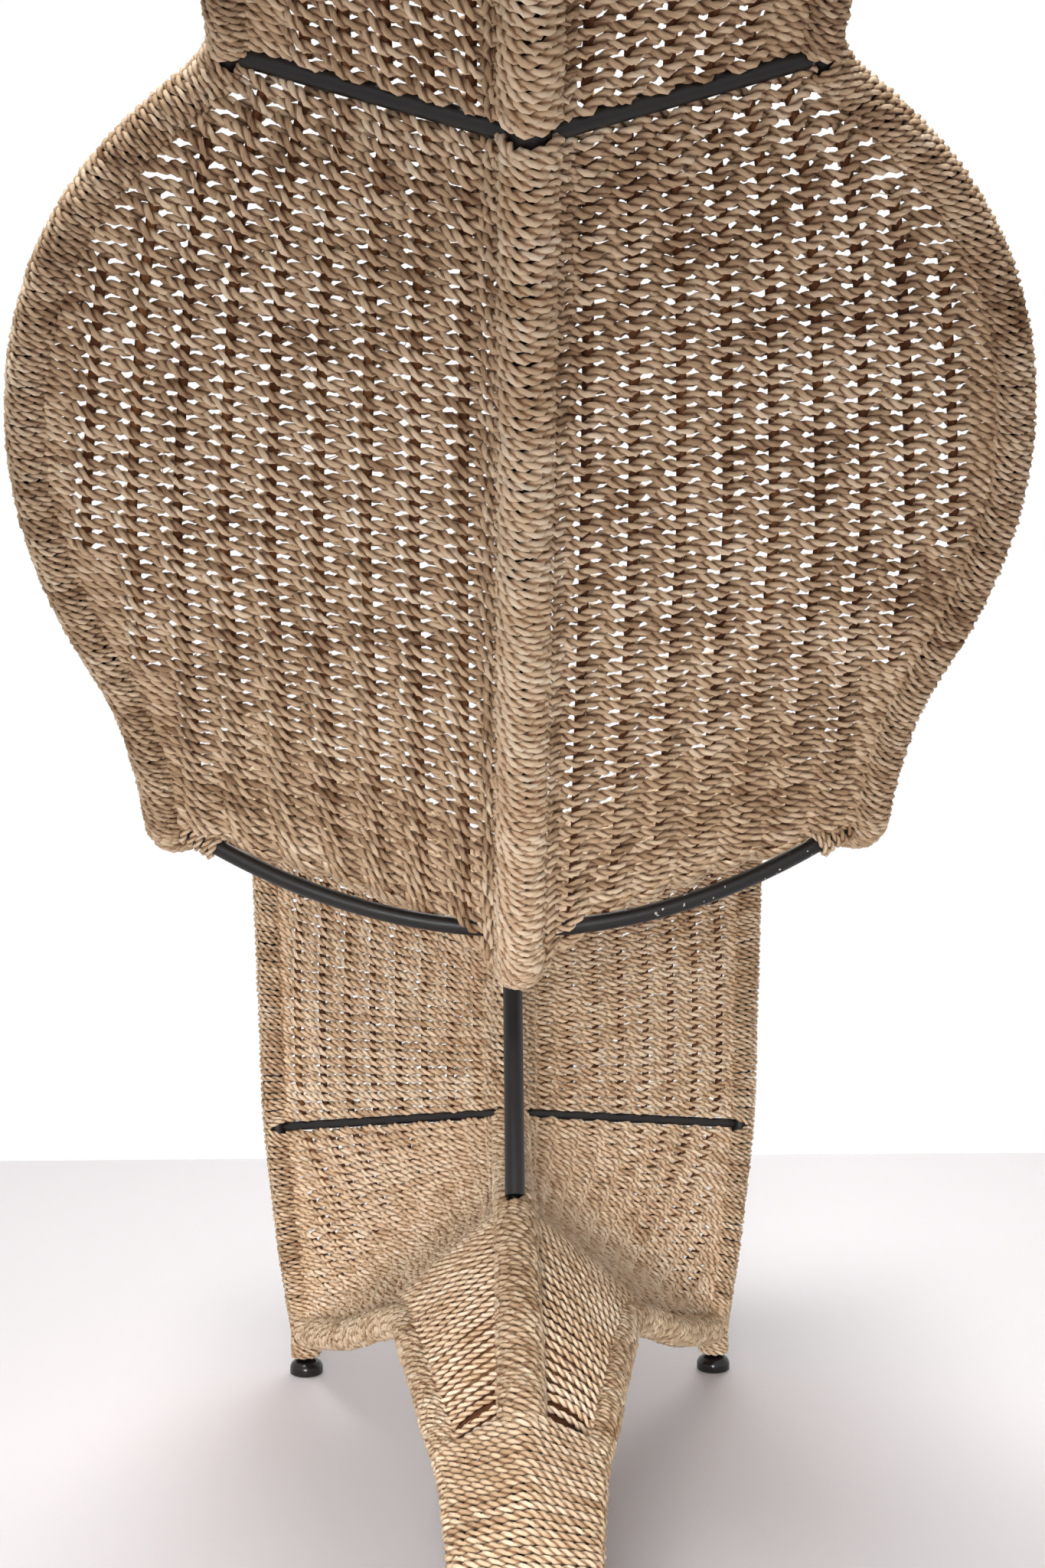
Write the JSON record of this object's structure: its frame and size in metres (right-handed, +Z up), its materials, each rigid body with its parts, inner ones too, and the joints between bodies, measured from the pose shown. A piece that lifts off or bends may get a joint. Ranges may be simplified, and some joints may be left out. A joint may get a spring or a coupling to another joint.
{
  "type": "chaise longue",
  "caption": "Ribbon-shaped lounge chair: bent steel tubes and cross ribs wound and woven with twisted fibre rope, on two screw-in front glides and a narrow curved tail.",
  "frame": {"origin": "on the floor, under the middle of the chair's bounding box", "axes": "+Z up, +Y the way the sitter faces, X across the width"},
  "size_m": [0.5658, 0.9916, 1.0458],
  "materials": {
    "black_steel": "satin black lacquer on steel",
    "black_glide": "glossy black lacquer on steel",
    "seagrass_rope": "matt two-ply twisted seagrass rope"
  },
  "bodies": {
    "frame": {"rail_left": "black_steel", "rail_right": "black_steel", "spine_tube": "black_steel", "head_bow": "black_steel", "tail_bow": "black_steel", "strut": "black_steel", "neck_bar_left": "black_steel", "neck_bar_right": "black_steel", "hip_hoop": "black_steel", "front_bar_left": "black_steel", "front_bar_right": "black_steel", "foot_boss_left": "black_steel", "foot_boss_right": "black_steel", "bow_wrap_left": "seagrass_rope", "bow_wrap_right": "seagrass_rope", "head_wrap_left": "seagrass_rope", "head_wrap_right": "seagrass_rope", "back_wrap_left": "seagrass_rope", "back_wrap_right": "seagrass_rope", "seat_wrap_left": "seagrass_rope", "seat_wrap_right": "seagrass_rope", "shin_wrap_left": "seagrass_rope", "shin_wrap_right": "seagrass_rope", "wing_wrap_left": "seagrass_rope", "wing_wrap_right": "seagrass_rope", "head_spine_wrap": "seagrass_rope", "back_spine_wrap": "seagrass_rope", "seat_spine_wrap": "seagrass_rope", "knee_spine_wrap": "seagrass_rope", "ridge_spine_wrap": "seagrass_rope", "nose_spine_wrap": "seagrass_rope", "head_weave_left": "seagrass_rope", "head_weave_right": "seagrass_rope", "back_weave_left": "seagrass_rope", "back_weave_right": "seagrass_rope", "seat_weave_left": "seagrass_rope", "seat_weave_right": "seagrass_rope", "base_weave_left": "seagrass_rope", "base_weave_right": "seagrass_rope", "tail_winding": "seagrass_rope", "tail_wrap": "seagrass_rope"},
    "glide_left": {"glide_stem_left": "black_glide", "glide_disc_left": "black_glide"},
    "glide_right": {"glide_stem_right": "black_glide", "glide_disc_right": "black_glide"}
  },
  "joints": [
    {"name": "glide_left_screw", "type": "slide", "parent": "frame", "child": "glide_left", "axis": [0, 0, -1], "range_m": [0, 0.005]},
    {"name": "glide_right_screw", "type": "slide", "parent": "frame", "child": "glide_right", "axis": [0, 0, -1], "range_m": [0, 0.005]}
  ]
}
